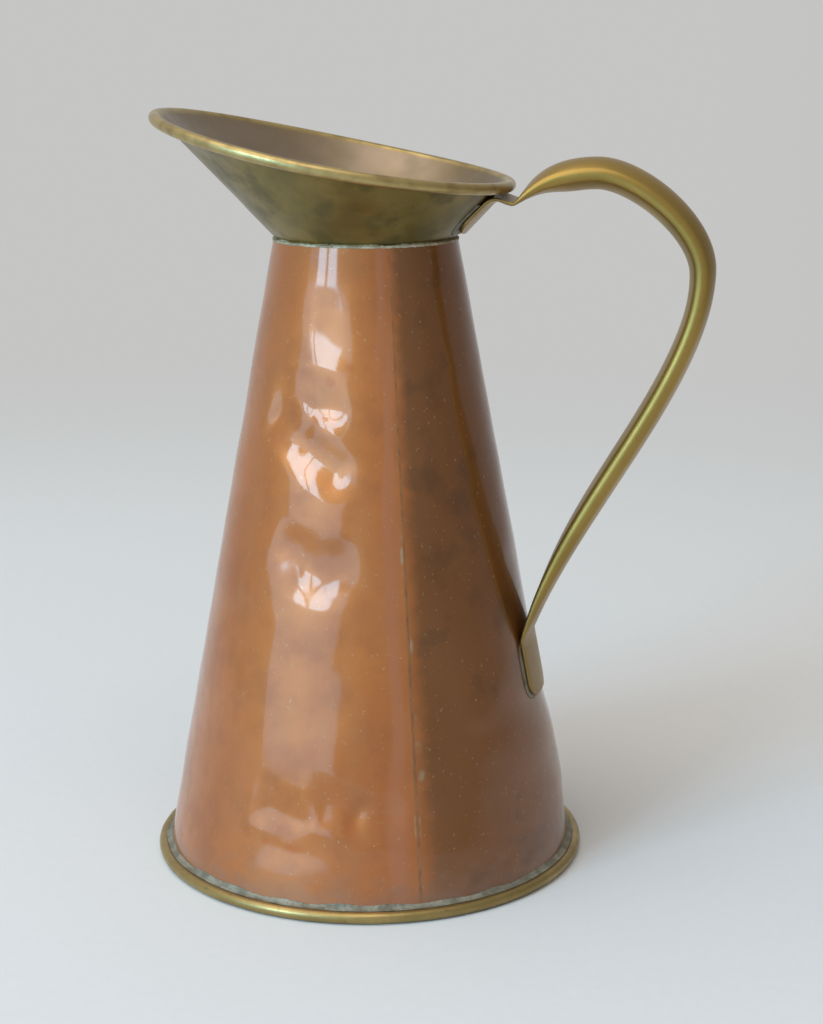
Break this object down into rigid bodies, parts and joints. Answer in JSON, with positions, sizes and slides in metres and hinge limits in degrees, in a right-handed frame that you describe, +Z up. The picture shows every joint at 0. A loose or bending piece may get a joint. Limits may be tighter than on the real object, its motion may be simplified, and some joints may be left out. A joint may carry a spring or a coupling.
{
  "type": "hot water can",
  "caption": "Tapered copper water can with a flared brass pouring lip, a hollow brass loop handle and a wired brass foot band.",
  "frame": {"origin": "centre of the foot band, on the surface that the can stands on", "axes": "+Z up along the axis of the can, +X towards the handle, the spout towards -X"},
  "size_m": [0.1964, 0.154, 0.263],
  "materials": {
    "copper_body": "tarnished satin copper, dented by use",
    "brass_lip": "dull olive brass with golden stains",
    "brass_foot": "worn golden brass",
    "brass_handle": "satin golden brass, polished by the hand",
    "brazing": "filed brazing spelter",
    "soft_solder": "oxidised grey white soft solder",
    "tinned_bottom": "old tinned copper sheet",
    "iron_wire": "black iron wire"
  },
  "bodies": {
    "root": {"body": "copper_body", "body_seam": "brazing", "bottom": "tinned_bottom", "bottom_solder": "soft_solder", "foot_band": "brass_foot", "foot_wire": "iron_wire", "foot_seam": "brazing", "foot_solder": "soft_solder", "lip": "brass_lip", "lip_wire": "iron_wire", "lip_seam": "brazing", "neck_solder": "soft_solder", "handle": "brass_handle", "handle_top_solder": "soft_solder", "handle_low_solder": "soft_solder"}
  },
  "joints": []
}
